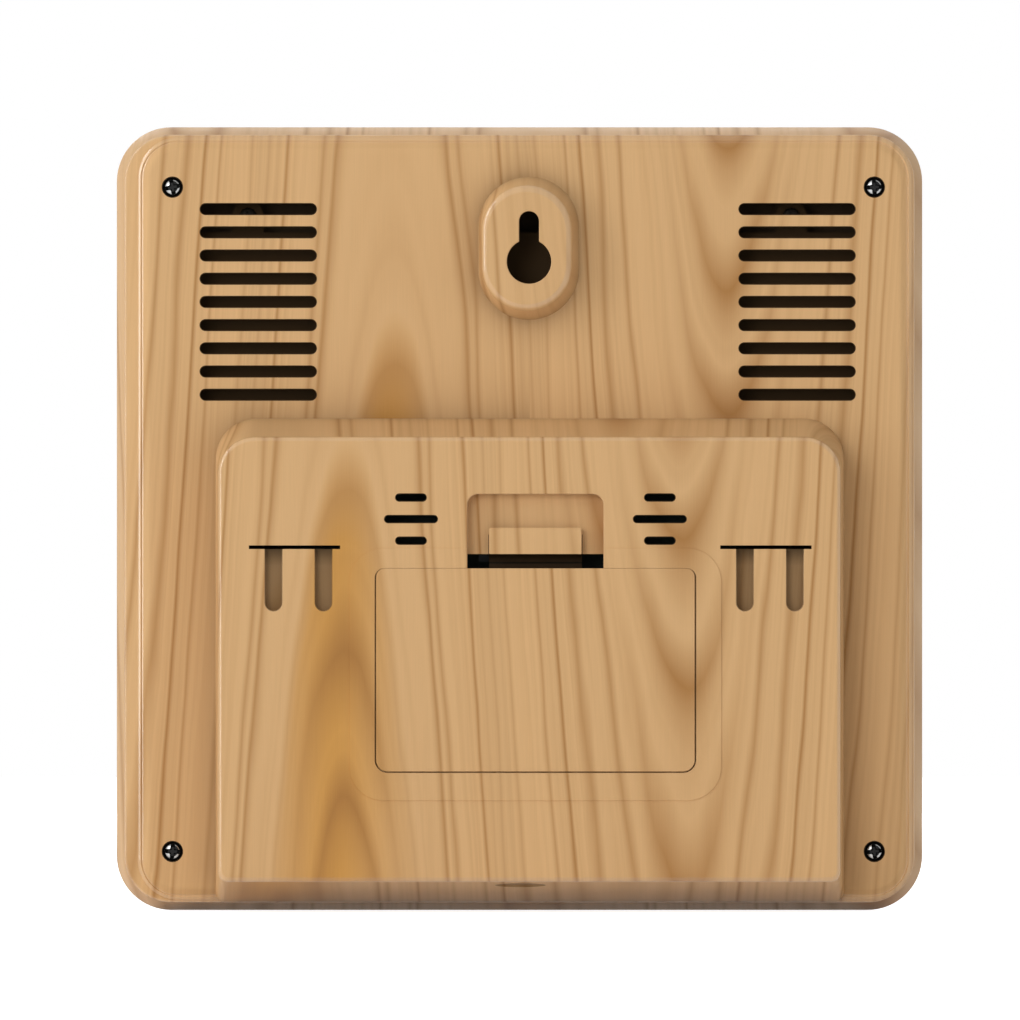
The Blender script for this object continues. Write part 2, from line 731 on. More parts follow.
def moulded(name, colour, roughness=0.5, spread=0.12, scale=900.0, **more):
    """Moulded plastic with a fine spark-eroded texture and a little colour variation."""
    g = Graph(bpy.data.materials.new(name))
    fine = g.noise(g.where(), scale, 3.0)
    broad = g.noise(g.where(), scale / 25)
    shade = g.math("MULTIPLY_ADD", broad, spread, 1 - spread / 2)
    g.bump(fine, 0.00001, 0.5)
    return g.done(
        Base_Color=g.shaded(colour, shade),
        Roughness=g.math("MULTIPLY_ADD", fine, 0.12, roughness - 0.06), **more)


def brushed(name, colour, roughness):
    """Drawn or plated metal with fine lines."""
    g = Graph(bpy.data.materials.new(name))
    fine = g.noise(g.where(), 1500.0)
    shade = g.math("MULTIPLY_ADD", g.noise(g.where(), 50.0), 0.2, 0.9)
    g.bump(fine, 0.000004, 0.4)
    return g.done(
        Base_Color=g.shaded(colour, shade), Metallic=1.0,
        Roughness=g.math("MULTIPLY_ADD", fine, 0.15, roughness - 0.05))


def clear_glass(name):
    """The display window, a little smeared."""
    g = Graph(bpy.data.materials.new(name))
    smear = g.noise(g.where(), 30.0, 3.0)
    return g.done(
        Transmission_Weight=1.0, Base_Color=(0.96, 0.97, 0.97, 1), IOR=1.33,
        Roughness=g.math("MULTIPLY_ADD", smear, 0.02, 0.01))


def lit(name, colour):
    """A lit part of the display, a little uneven like the light behind it."""
    g = Graph(bpy.data.materials.new(name))
    shade = g.math("MULTIPLY_ADD", g.noise(g.where(), 40.0), 0.3, 0.85)
    return g.done(
        Emission_Color=(*colour, 1), Emission_Strength=0.45, Base_Color=g.shaded(colour, shade),
        Roughness=0.35)


MADE = {}


def finish(name, make, *values, **more):
    """A material made once and shared by the pieces."""
    if name not in MADE:
        MADE[name] = make(name, *values, **more)
    return MADE[name]


def wood():
    return finish("wood_grain", wood_grain)


def recess_wood():
    """The same print where it sinks into narrow recesses and comes out darker."""
    return finish("recess_grain", wood_grain, 0.53)


def bare():
    """The plastic inside the housing, which has no print."""
    return finish("bare_plastic", moulded, (0.060, 0.034, 0.014), 0.7, Specular_IOR_Level=0.2)


def covering():
    """The three finishes of the housing's mouldings, in the order of the material slots."""
    return [wood(), bare(), recess_wood()]


def screw_black():
    return finish("screw_black", moulded, (0.005, 0.005, 0.005), 0.4, 0.3, Specular_IOR_Level=0.2)


def screw_worn():
    """The driver recess, where the black has worn off."""
    return finish("screw_worn", brushed, (0.42, 0.42, 0.41), 0.3)


def steel():
    return finish("plated_steel", brushed, (0.56, 0.57, 0.58), 0.27)


# Pieces

def cover_skin():
    """Rim, plate, pod, panel and hanger boss of the rear cover."""
    front = shrunk(CASE, FRAME_TAPER)
    rim = [(COVER_FRONT, front), (RIM - RIM_EDGE, shrunk(front, 0.08))]
    rim += [(RIM - depth, shrunk(front, inset)) for depth, inset in RIM_SECTION]
    rim = tower(rim, finish=OUTSIDE)
    bead = sizes().bead_width / MM
    groove = sizes().groove_depth / MM
    plate_rings = [(COVER_FRONT + WALL, PLATE_SHAPE), (RIM - 0.9, shrunk(PLATE_SHAPE, -bead))]
    plate_rings += [(RIM + height, shrunk(PLATE_SHAPE, bead * (across - 1)))
                    for across, height in BEAD_SECTION]
    low = BEAD_SECTION[-1][1] - groove
    plate_rings += [(RIM + low, shrunk(PLATE_SHAPE, -0.05)), (RIM + low, shrunk(PLATE_SHAPE, 0.02))]
    plate_rings += [(PLATE - depth, shrunk(PLATE_SHAPE, inset)) for depth, inset in PLATE_SECTION]
    plate = tower(plate_rings, finish=OUTSIDE)
    pod = tower([(COVER_FRONT, POD_BASE), *drafted(POD_BASE, POD_FACE, (PLATE, POD), POD_EDGE)],
                finish=OUTSIDE)
    panel = tower([(POD - 1, PANEL), (BACK - 0.06, PANEL), (BACK, shrunk(PANEL, 0.08))],
                  finish=OUTSIDE)
    hanger = tower(drafted(HANGER_BASE, HANGER_FACE, (PLATE - 1, HANGER), HANGER_EDGE),
                   finish=OUTSIDE)
    return joined(rim, plate, pod, panel, hanger)


def cover_rooms():
    """The hollow inside of the rear cover."""
    room = slab(shrunk(CASE, FRAME_TAPER + WALL), (COVER_FRONT - WALL, PLATE - WALL))
    inside = shrunk(POD_BASE, WALL)
    pod = tower([(COVER_FRONT - WALL, inside), (PLATE, inside), (POD - WALL, shrunk(POD_FACE, WALL))])
    hanger = slab(shrunk(HANGER_FACE, WALL), (COVER_FRONT - WALL, HANGER - WALL))
    return [room, pod, hanger]


def cover_inner_walls():
    """Columns, lip, guard and the walls of the bay, the pocket and the stand slots."""
    lip = shrunk(CASE, FRAME_TAPER + FRAME_WALL + GAP)
    lip_ring = cut(slab(lip, (FRAME_BACK - 1, RIM - 0.6)),
                   slab(shrunk(lip, 1), (FRAME_BACK - 4, PLATE + 1)))
    room = shrunk(HANGER_FACE, WALL)
    guard = cut(slab(shrunk(room, -1.2), (RIM - WALL, HANGER - 1)),
                slab(room, (RIM - 4, HANGER + 1), finish=OUTSIDE))
    walls = [rod(x, z, SCREW_HEAD / 2 + 1.45, (COVER_FRONT, PLATE - 1))
             for x, z in CASE_SCREWS]
    walls += [lip_ring, guard]
    inside = POD - 1
    walls += [brick(span(x, 22.5), (STEM_FLOOR - 1.2, inside), (STEM_LOW - 1.2, STAND_Z + 2))
              for x in STAND_X]
    walls.append(brick((BAY_X[0] - BAY_WALL, BAY_X[1] + BAY_WALL), (BAY_FLOOR - BAY_WALL, inside),
                       (BAY_Z[0] - BAY_WALL, BAY_Z[1] + BAY_WALL)))
    walls.append(slab(shrunk(DOOR_HOLE, -2), (DOOR_SEAT - 1.9, inside)))
    pocket = shape((POCKET.x[0] - BAY_WALL, POCKET.x[1] + BAY_WALL), (LATCH_LOW, 93.4), 2.4, 0.5)
    walls.append(slab(pocket, (POCKET_FLOOR - BAY_WALL, inside)))
    walls += [rod(SENSOR_X, z, 0.8, (-3.0, PLATE - 1), 24) for z in SENSOR_POSTS]
    return walls


def underside_nick():
    """The shallow crescent in the middle of the pod's sloping underside."""
    bm = bmesh.new()
    bmesh.ops.create_uvsphere(bm, u_segments=48, v_segments=24, radius=1.0)
    bmesh.ops.scale(bm, vec=NICK_SIZE, verts=bm.verts)
    bmesh.ops.rotate(
        bm, cent=(0, 0, 0), matrix=Matrix.Rotation(NICK_SLOPE, 3, "X"), verts=bm.verts)
    bmesh.ops.translate(bm, vec=NICK_PLACE, verts=bm.verts)
    return finished(bm, RECESS)


def screw_holes(chamfer):
    """The head and shank holes of the case screws."""
    radius = SCREW_HEAD / 2 + HEAD_ROOM
    cuts = []
    for x, z in CASE_SCREWS:
        cuts.append(rod(x, z, radius, (SCREW_SEAT - 0.1, BACK)))
        cuts.append(rod(x, z, radius + 0.9 * chamfer, (PLATE - 0.9 * chamfer, BACK)))
        cuts.append(rod(x, z, SCREW_SHANK / 2 + SCREW_ROOM, (COVER_FRONT - WALL, PLATE), 24))
    return cuts


def side_vents():
    """Two banks of slots in the plate."""
    return [flared(slot_shape(span(x, VENT_SIZE[0]), span(VENT_TOP - VENT_PITCH * row, VENT_SIZE[1])),
                   (RIM - 4, PLATE + WALL), PLATE, 8)
            for x in VENT_X for row in range(VENT_ROWS)]


def keyhole(chamfer):
    """The hole for a wall screw's head, its chamfer, and the slot for the shank."""
    depth = (PLATE, HANGER + WALL)
    head = rod(HANGER_X, KEYHOLE_Z, KEYHOLE_RADIUS, depth, 64, OUTSIDE)
    mouth = rod(HANGER_X, KEYHOLE_Z, KEYHOLE_RADIUS, (HANGER - chamfer, depth[1]), 64, OUTSIDE,
                end_radius=KEYHOLE_RADIUS + chamfer + WALL)
    slot = slot_shape(span(HANGER_X, KEYHOLE_SLOT), (KEYHOLE_Z, KEYHOLE_TOP))
    return [head, mouth, flared(slot, depth, HANGER, 10, OUTSIDE)]


def stand_slots():
    """Two slots shaped like a T with two stems, which take the stand's feet."""
    cuts = []
    for x in STAND_X:
        cuts.append(brick(span(x, STAND_BAR[0]), (RIM, BACK + 1), span(STAND_Z, STAND_BAR[1])))
        for stem in (-STEM_SPREAD, STEM_SPREAD):
            pocket = shape(span(x + stem + STEM_SHIFT, STEM_WIDTH), (STEM_LOW, STAND_Z), 0.2,
                           STEM_WIDTH / 2 - 0.005)
            cuts.append(flared(pocket, (STEM_FLOOR, BACK + 1), POD, 10, RECESS))
    return cuts


def small_vents():
    """Two groups of three slots beside the finger pocket."""
    return [flared(slot_shape(span(x, length),
                              span(SMALL_VENT_Z + row * SMALL_VENT_PITCH, SMALL_VENT_HEIGHT)),
                   (14.0, BACK + 1), POD, 8)
            for x in SMALL_VENT_X for row, length in SMALL_VENT_LENGTHS.items()]


def battery_bay():
    """The cells' bay, the door's seat with its hook holes, and the holes for the leads."""
    cuts = [brick(BAY_X, (BAY_FLOOR, BACK), BAY_Z),
            slab(DOOR_HOLE, (DOOR_SEAT, BACK + 1), finish=OUTSIDE)]
    hook_end = BAY_Z[0] + 0.5
    for x in TABS:
        cuts.append(brick(span(x, 9.0), (CELL_Y, POD - WALL), (26.1, hook_end)))
        cuts.append(brick(span(x, 9.0), (CELL_Y, BACK), (31.0, hook_end)))
    for x, level in ((BAY_X[0] + 0.5, CELL_LEVELS[0]), (BAY_X[1] - 0.5, CELL_LEVELS[2])):
        cuts.append(brick(span(x, 1.0), (0, BAY_FLOOR + 1), span(level, 4.0)))
    return cuts


def finger_pocket():
    """The pocket over the latch, and the latch's way down through the bay's wall."""
    way = (LATCH_X[0] - LATCH_ROOM, LATCH_X[1] + LATCH_ROOM)
    wall_top = BAY_Z[1] + BAY_WALL
    return [flared(POCKET, (POCKET_FLOOR, BACK + 1), POD, None, OUTSIDE),
            brick(POCKET.x, (RIM, BACK + 1), (DOOR_HOLE.z[1] - GAP, LATCH_LOW)),
            brick(way, (RIM, 15.7), (wall_top, 83.0)),
            brick(way, (RIM, BACK + 1), (wall_top, DOOR_HOLE.z[1]))]


def cover_cuts():
    """Every hole, slot and recess of the rear cover."""
    chamfer = sizes().slot_chamfer / MM
    return [*screw_holes(chamfer), *side_vents(), *keyhole(chamfer), *stand_slots(), *small_vents(),
            *battery_bay(), *finger_pocket(), underside_nick()]


class CLOCK_OT_rear_cover(bpy.types.Operator):
    """Build the moulded rear cover with its plate, hanger, pod, vents and bay"""
    bl_idname = "clock.rear_cover"
    bl_label = "Rear Cover"

    def execute(self, context):
        shell = cut(cover_skin(), *cover_rooms())
        moulding = joined(shell, *cover_inner_walls())
        cover = cut(moulding, *cover_cuts())
        place("rear_housing", cover, covering(), "housing", ["rear_cover"])
        return {"FINISHED"}


class CLOCK_OT_front_frame(bpy.types.Operator):
    """Build the tapered front frame with its mask plate and posts"""
    bl_idname = "clock.front_frame"
    bl_label = "Front Frame"

    def execute(self, context):
        steps = sizes().edge_steps
        start = FRONT + FRAME_EDGE + FRAME_STRAIGHT
        rings = []
        for step in range(steps, -1, -1):
            angle = step / steps * math.pi / 2
            rings.append((FRONT + FRAME_EDGE * (1 - math.sin(angle)),
                          shrunk(CASE, FRAME_EDGE * (1 - math.cos(angle)))))
        back = shrunk(CASE, FRAME_TAPER)
        rings += [(start, CASE), (FRAME_BACK - 0.15, shrunk(CASE, FRAME_TAPER * 0.985)),
                  (FRAME_BACK, shrunk(back, 0.12))]
        inner = [(MASK_BACK, CASE), (start, CASE), (FRAME_BACK, back), (FRAME_BACK + WALL, back)]
        cavity = tower([(y, shrunk(form, FRAME_WALL)) for y, form in inner])
        rebate = tower([(FRONT - WALL, shrunk(CASE, BEZEL - 0.2)), (FRONT, shrunk(CASE, BEZEL - 0.2)),
                        (FRONT + 0.2, shrunk(CASE, BEZEL)), (MASK_FRONT, shrunk(CASE, BEZEL))],
                       finish=OUTSIDE)
        opening = slab(shrunk(LCD, 3), (FRONT, MASK_BACK + WALL))
        ribbon_slot = brick(span(-26, 16), (FRONT, MASK_BACK + WALL), span(19, 2.3))
        shell = cut(tower(rings, finish=OUTSIDE), cavity, rebate, opening, ribbon_slot)
        pilot = SCREW_SHANK / 2 + SCREW_ROOM
        posts = [rod(x, z, pilot + 2.2, (MASK_BACK - 0.8, FRAME_BACK)) for x, z in CASE_SCREWS]
        posts += [rod(x, z, 2.35, (MASK_BACK - 0.8, -9.0)) for x, z in TRAY_EARS]
        holes = [rod(x, z, pilot, (MASK_BACK, FRAME_BACK + WALL), 24) for x, z in CASE_SCREWS]
        holes += [rod(x, z, 1.15, (MASK_BACK, -7.0), 24) for x, z in TRAY_EARS]
        shell = cut(joined(shell, *posts), *holes)
        place("front_housing", shell, covering(), "housing", ["front_frame"])
        return {"FINISHED"}


class CLOCK_OT_battery_door(bpy.types.Operator):
    """Build the battery door with its ribs, hook tabs and spring root"""
    bl_idname = "clock.battery_door"
    bl_label = "Battery Door"

    def execute(self, context):
        # The gap along the top closes to a hair's width
        outer = shrunk(DOOR_HOLE, GAP)._replace(z=(DOOR_HOLE.z[0] + GAP, DOOR_HOLE.z[1] - 0.05))
        edge = 0.12
        inner = shrunk(outer, edge)._replace(z=(outer.z[0] + edge, outer.z[1] - 0.02))
        door = tower([(DOOR_INSIDE, outer), (BACK - edge, outer), (BACK, inner)], finish=OUTSIDE)
        ribs = [brick(span(DOOR_X, CELL_LENGTH), (15.9, 18.2), span(CELL_LEVELS[1] + side, 0.8), 0.15)
                for side in (-5.6, 5.6)]
        tabs = []
        for x in TABS:
            tabs.append(brick(span(x, 8.0), (15.1, 18.2), (31.2, 33.2), 0.12))
            tabs.append(brick(span(x, 8.0), (15.1, 16.5), (27.6, 33.2), 0.3))
        bend = spring_bend(-math.pi / 2, -1)
        leg = brick(LATCH_X, (SPRING_CENTRE[0], 18.2),
                    (SPRING_CENTRE[1] - SPRING_OUTER, SPRING_CENTRE[1] - SPRING_INNER))
        door = joined(door, *ribs, *tabs, bend, leg)
        place("battery_lid", door, covering(), "door", ["battery_door"])
        return {"FINISHED"}


class CLOCK_OT_door_latch(bpy.types.Operator):
    """Build the sprung latch with its catch and finger lip"""
    bl_idname = "clock.door_latch"
    bl_label = "Door Latch"

    def execute(self, context):
        bend = spring_bend(math.pi / 2, 1)
        leg = brick(LATCH_X, (SPRING_CENTRE[0], 17.0), (LATCH_LOW, LATCH_HIGH))
        lip = shape(LATCH_X, (LATCH_LOW, 84.5), 0.6, 0.2)
        face = lip._replace(x=(lip.x[0] + 0.16, lip.x[1] - 0.16), z=(LATCH_LOW, 83.75))
        lip = tower([(16.4, lip), (17.5, lip), (17.7, face._replace(z=(LATCH_LOW, 84.2))), (17.8, face)],
                    6, OUTSIDE)
        bm = bmesh.new()
        profile = [(10.5, 79.5), (10.5, LATCH_HIGH), (12.3, 82.5), (12.9, 82.5), (12.9, 79.5)]
        side = bm.faces.new([bm.verts.new((LATCH_X[0], y, z)) for y, z in profile])
        drawn = bmesh.ops.extrude_face_region(bm, geom=[side])
        bmesh.ops.translate(bm, vec=(LATCH_X[1] - LATCH_X[0], 0, 0),
                            verts=[v for v in drawn["geom"] if isinstance(v, bmesh.types.BMVert)])
        catch = finished(bm)
        latch = joined(bend, leg, lip, catch)
        place("lid_latch", latch, covering(), "latch", ["door_latch"])
        return {"FINISHED"}


class CLOCK_OT_case_screws(bpy.types.Operator):
    """Build the four cross-head screws of the housing"""
    bl_idname = "clock.case_screws"
    bl_label = "Case Screws"

    def execute(self, context):
        height = SCREW_TOP - SCREW_SEAT
        radius = SCREW_HEAD / 2
        for number, (x, z) in enumerate(CASE_SCREWS):
            profile = [(0, -SCREW_LENGTH), (SCREW_SHANK / 2 - 0.3, -SCREW_LENGTH),
                       (SCREW_SHANK / 2, -SCREW_LENGTH + 0.5), (SCREW_SHANK / 2, 0), (radius, 0),
                       (radius, height * 0.42)]
            for step in range(1, 9):
                angle = step / 8 * math.pi / 2
                profile.append((radius * (0.46 + 0.54 * math.cos(angle)),
                                height * (0.42 + 0.5 * math.sin(angle))))
            profile += [(radius * 0.25, height * 0.985), (0, height)]
            screw = turned(profile)
            # The black has worn off between the recess and a ring near the edge
            for face in screw.polygons:
                across = math.hypot(face.center.x, face.center.z)
                from_edge = 0.6 if face.center.x > 0 else 1.1 if face.center.z < 0.4 else 1.3
                if face.center.y > height * 0.5 and from_edge < across < radius * 0.76:
                    face.material_index = INSIDE
            arms = []
            for quarter in range(2):
                arm = tower([(height * 0.30, shape((-1.0, 1.0), (-0.30, 0.30), 0.1)),
                             (height + 0.3, shape((-1.95, 1.95), (-0.58, 0.58), 0.3))], 3, OUTSIDE)
                arms.append(moved(arm, (0, 0, 0), Matrix.Rotation(math.pi / 2 * quarter, 4, "Y")))
            web = rod(0, 0, 0.40, (height * 0.3, height + 0.3), 16, OUTSIDE, 1.0)
            screw = cut(screw, *arms, web)
            angle = math.radians((7, -4, 3, 12)[number])
            screw = moved(screw, (x, SCREW_SEAT, z), Matrix.Rotation(angle, 4, "Y"))
            place(f"housing_screw_{number + 1}", screw, [screw_black(), screw_worn()], "housing",
                  [f"case_screw_{number + 1}"])
        return {"FINISHED"}


def gathered(meshes):
    """Separate solids as one mesh."""
    bm = bmesh.new()
    for mesh in meshes:
        bm.from_mesh(mesh)
        bpy.data.meshes.remove(mesh)
    together = bpy.data.meshes.new("solids")
    bm.to_mesh(together)
    bm.free()
    return together


def bar(x, z, y):
    """A flat printed bar with round ends."""
    radius = min(abs(x[1] - x[0]), abs(z[1] - z[0])) / 2 * 0.98
    return slab(shape(x, z, radius), y, 5, OUTSIDE)


def ring(x, z, radius, width, y):
    """A flat printed ring."""
    edge = [(radius - width / 2, y[0]), (radius + width / 2, y[0]),
            (radius + width / 2, y[1]), (radius - width / 2, y[1])]
    return moved(turned(edge + edge[:1], 40), (x, 0, z))


LIT = {0: "abcdef", 1: "bc", 2: "abged", 3: "abgcd", 4: "fgbc", 5: "afgcd", 6: "afgedc",
       7: "abc", 8: "abcdefg", 9: "abcfgd"}


def digit(number, x, z, height, y):
    """A seven-segment digit whose lower left corner is at x, z."""
    width, line = height * 0.5, height * 0.1
    gap = line * 0.62
    middle = z + height / 2
    rows = {"a": z + height, "g": middle, "d": z}
    columns = {"f": (x, 1), "b": (x + width, 1), "e": (x, 0), "c": (x + width, 0)}
    bars = []
    for name in LIT[number]:
        if name in rows:
            bars.append(bar((x + gap, x + width - gap), span(rows[name], line), y))
        else:
            side, upper = columns[name]
            low = middle if upper else z
            bars.append(bar(span(side, line), (low + gap, low + height / 2 - gap), y))
    return bars


def figures(digits, z, height, y):
    """Seven-segment digits in a row, given as (number, x)."""
    return [piece for number, x in digits for piece in digit(number, x, z, height, y)]


def touch_marks(y):
    """Five ringed signs: a dot, a minus, a ring, a plus and three lines."""
    dot, minus, circle, plus, lines = TOUCH_X
    marks = [ring(x, TOUCH_Z, 3.4, 0.35, y) for x in TOUCH_X]
    marks += [bar(span(x, 2.6), span(TOUCH_Z, 0.4), y) for x in (minus, plus)]
    marks += [bar(span(plus, 0.4), span(TOUCH_Z + side, 1.0), y) for side in (0.8, -0.8)]
    marks += [ring(circle, TOUCH_Z, 1.0, 0.4, y), ring(dot, TOUCH_Z, 1.0, 0.9, y)]
    marks += [bar(span(lines, 2.4), span(TOUCH_Z + row, 0.4), y) for row in (-0.9, 0, 0.9)]
    return marks


def time_figures(y):
    """The time with its colon."""
    clock = figures(((1, -58), (0, -32), (2, 8), (4, 36)), 70, 34, y)
    return clock + [bar(span(-4.5, 3.2), span(level, 3.2), y) for level in (79, 95)]


def room_figures(y):
    """Indoor temperature and humidity, and the lines between the fields."""
    temperature = figures(((2, -60), (2, -48)), 43, 15, y) + [ring(-36, 57, 1.6, 0.7, y)]
    lines = [bar((-66, 66), span(level, 0.5), y) for level in (64.5, 109.5)]
    lines += [bar(span(0, 0.5), field, y) for field in ((41, 61.5), (112.5, 139))]
    percent = [bar((46.5, 47.4), (45, 56), y), ring(43.4, 55, 1.4, 0.6, y), ring(50.4, 46, 1.4, 0.6, y)]
    return temperature + lines + figures(((4, 18), (8, 30)), 43, 15, y) + percent


def outdoor_figures(y):
    """Outdoor temperature."""
    return figures(((1, 16), (8, 32)), 117, 20, y) + [ring(48, 136, 2.0, 0.8, y)]


def sun_sign(y):
    """The weather: a ring with eight rays."""
    rays = [moved(bar((9.0, 12.6), span(0, 1.5), y), (-36, 0, 126),
                  Matrix.Rotation(step * math.pi / 4, 4, "Y")) for step in range(8)]
    return rays + [ring(-36, 126, 5.6, 1.6, y)]


class CLOCK_OT_display(bpy.types.Operator):
    """Build the window's printed border, its touch marks and the figures of the display"""
    bl_idname = "clock.display"
    bl_label = "Display"

    def execute(self, context):
        border = tower([(WINDOW_BACK + 0.03, shrunk(CASE, BEZEL + 0.25)),
                        (WINDOW_BACK + 0.07, shrunk(CASE, BEZEL + 0.25))], finish=OUTSIDE)
        border = cut(border, slab(shrunk(LCD, 4)._replace(top=1.5, low=1.5),
                                  (WINDOW_BACK - 1, WINDOW_BACK + 1), finish=OUTSIDE))
        ink = finish("border_ink", moulded, (0.006, 0.006, 0.007), 0.5, 0.1, Specular_IOR_Level=0.1)
        place("window_border", border, [ink], "housing", weighted=False)

        on_window = (WINDOW_BACK + 0.005, WINDOW_BACK + 0.025)
        on_lcd = (LCD_FACE - 0.06, LCD_FACE - 0.01)
        for name, solids, slot, ink, colour in (
                ("touch_marks", touch_marks(on_window), "milky_sheet", "mark_ink", (0.55, 0.57, 0.58)),
                ("clock_figures", time_figures(on_lcd), "lcd", "lit_white", (0.80, 0.86, 0.90)),
                ("room_figures", room_figures(on_lcd), "lcd", "lit_amber", (0.85, 0.42, 0.09)),
                ("outdoor_figures", outdoor_figures(on_lcd), "lcd", "lit_blue", (0.12, 0.50, 0.80)),
                ("sun_sign", sun_sign(on_lcd), "lcd", "lit_yellow", (0.88, 0.62, 0.12))):
            place(name, gathered(solids), [finish(ink, lit, colour)], "housing", weighted=False)
        return {"FINISHED"}


class CLOCK_OT_battery_cells(bpy.types.Operator):
    """Build the three cells with their sleeves and metal ends"""
    bl_idname = "clock.battery_cells"
    bl_label = "Battery Cells"

    def execute(self, context):
        sleeve = finish("cell_sleeve", moulded, (0.026, 0.075, 0.27), 0.28, 0.08)
        half = CELL_LENGTH / 2
        body = half - 1.0
        radius = CELL_RADIUS
        for number, z in enumerate(CELL_LEVELS):
            turn = 1 if number % 2 else -1
            # The sleeve turns over both ends; metal shows inside it
            profile = [(0, -half + 0.25), (3.9, -half + 0.25), (3.9, -half), (radius - 0.5, -half),
                       (radius - 0.15, -half + 0.15), (radius, -half + 0.5), (radius, body - 0.6),
                       (radius - 0.15, body - 0.25), (radius - 0.5, body - 0.1), (3.6, body - 0.1),
                       (3.6, body - 0.5), (3.1, body - 0.6), (2.1, body - 0.5), (1.9, body - 0.2),
                       (1.9, half - 0.25), (1.65, half), (0, half)]
            cell = turned(profile, 64)
            for face in cell.polygons:
                across = math.hypot(face.center.x, face.center.z)
                face.material_index = OUTSIDE if across > 3.75 else INSIDE
            cell = moved(cell, (DOOR_X - turn * CELL_SHIFT, CELL_Y, z),
                         Matrix.Rotation(turn * math.pi / 2, 4, "Z"))
            place(f"cell_{number + 1}", cell, [sleeve, steel()], "housing",
                  [f"battery_cell_{number + 1}"], 30.0)
        return {"FINISHED"}


class CLOCK_OT_battery_contacts(bpy.types.Operator):
    """Build the contact plates with their cone springs"""
    bl_idname = "clock.battery_contacts"
    bl_label = "Battery Contacts"

    def execute(self, context):
        for name, side, rows, spring_row, tab_row in (
                ("negative", -1, (0,), 0, 0), ("bridge_upper", 1, (0, 1), 1, None),
                ("bridge_lower", -1, (1, 2), 2, None), ("positive", 1, (2,), None, 2)):
            wall = BAY_X[0] + GAP if side < 0 else BAY_X[1] - GAP
            x = (wall, wall + CONTACT) if side < 0 else (wall - CONTACT, wall)
            levels = [CELL_LEVELS[row] for row in rows]
            z = (min(levels) - CONTACT_WIDTH / 2, max(levels) + CONTACT_WIDTH / 2)
            solids = [brick(x, span(CELL_Y, CONTACT_WIDTH), z, 0.12, OUTSIDE)]
            if spring_row is not None:
                solids.append(self.spring(x[1] if side < 0 else x[0], CELL_LEVELS[spring_row], -side))
            if tab_row is not None:
                solids.append(brick(x, (BAY_FLOOR - 3.5, CELL_Y - 4.7), span(CELL_LEVELS[tab_row], 3.0),
                                    0.1, OUTSIDE))
            place(f"spring_{name}", gathered(solids), [steel()], "housing",
                  [f"contact_{name}"], 50.0, False)
        return {"FINISHED"}

    @staticmethod
    def spring(x, z, side):
        """Four turns of wire that narrow towards the cell."""
        turns, length, wide, narrow = 4, 5.8, 3.6, 1.8
        steps = turns * 24
        bm = bmesh.new()
        bmesh.ops.create_circle(bm, cap_ends=True, radius=0.4, segments=10)
        bmesh.ops.translate(bm, vec=(0, wide, 0), verts=bm.verts)
        bmesh.ops.spin(
            bm, geom=[*bm.faces, *bm.edges, *bm.verts], cent=(0, 0, 0), axis=(1, 0, 0),
            dvec=(length / steps, 0, 0), angle=turns * 2 * math.pi, steps=steps, use_merge=False,
            use_duplicate=False)
        for vert in bm.verts:
            reach = math.hypot(vert.co.y, vert.co.z)
            factor = (reach - (wide - narrow) * min(max(vert.co.x / length, 0), 1)) / reach
            vert.co.y *= factor
            vert.co.z *= factor
        bmesh.ops.scale(bm, vec=(side, 1, 1), verts=bm.verts)
        bmesh.ops.translate(bm, vec=(x + side * 0.2, CELL_Y, z), verts=bm.verts)
        return finished(bm, OUTSIDE)


class CLOCK_OT_inner_parts(bpy.types.Operator):
    """Give the carried-over inner parts their finishes"""
    bl_idname = "clock.inner_parts"
    bl_label = "Inner Parts"

    def execute(self, context):
        tray = finish("tray_plastic", moulded, (0.062, 0.036, 0.016), 0.85, Specular_IOR_Level=0.1)
        film = finish("flex_film", moulded, (0.50, 0.20, 0.03), 0.35, 0.1, 400.0)
        board = finish("green_board", moulded, (0.012, 0.020, 0.009), 0.5, 0.3, 300.0,
                       Specular_IOR_Level=0.25)
        milky = finish("milky_sheet", moulded, (0.86, 0.88, 0.86), 0.35, 0.03)
        black = finish("black_plastic", moulded, (0.010, 0.010, 0.010), 0.4)
        red = finish("red_insulation", moulded, (0.42, 0.018, 0.012), 0.45)
        lcd = finish("lcd_glass", moulded, (0.010, 0.012, 0.016), 0.3, 0.3, 40.0,
                     Specular_IOR_Level=0.2)
        tape = finish("foam_tape", moulded, (0.02, 0.02, 0.02), 0.85, 0.3, 2000.0)
        glass = finish("window_glass", clear_glass)
        dark_screw = finish("dark_screw", moulded, (0.020, 0.015, 0.010), 0.6,
                            Specular_IOR_Level=0.15)
        looks = {
            "display_window": glass, "window_tape": tape, "touch_sensor": film, "touch_ribbon": film,
            "lcd_panel": lcd, "diffuser_sheet": milky, "light_guide": milky, "reflector_sheet": milky,
            "backlight_strip": board, "display_tray": tray, "lcd_ribbon": film, "main_board": board,
            "controller_chip": black, "clock_crystal": steel(), "storage_capacitor": black,
            "buzzer": black, "radio_module": board, "antenna_wire": steel(), "sensor_board": board,
            "humidity_sensor": milky, "sensor_cable": tape, "battery_wire_negative": black,
            "battery_wire_positive": red,
        }
        for number in range(1, 5):
            looks[f"tray_screw_{number}"] = looks[f"board_screw_{number}"] = dark_screw
        for name, material in looks.items():
            node = frame["nodes"][name]
            if not node.material_slots:
                raise RuntimeError(f"{name} has no material slot")
            for held in node.material_slots:
                held.material = material
        return {"FINISHED"}


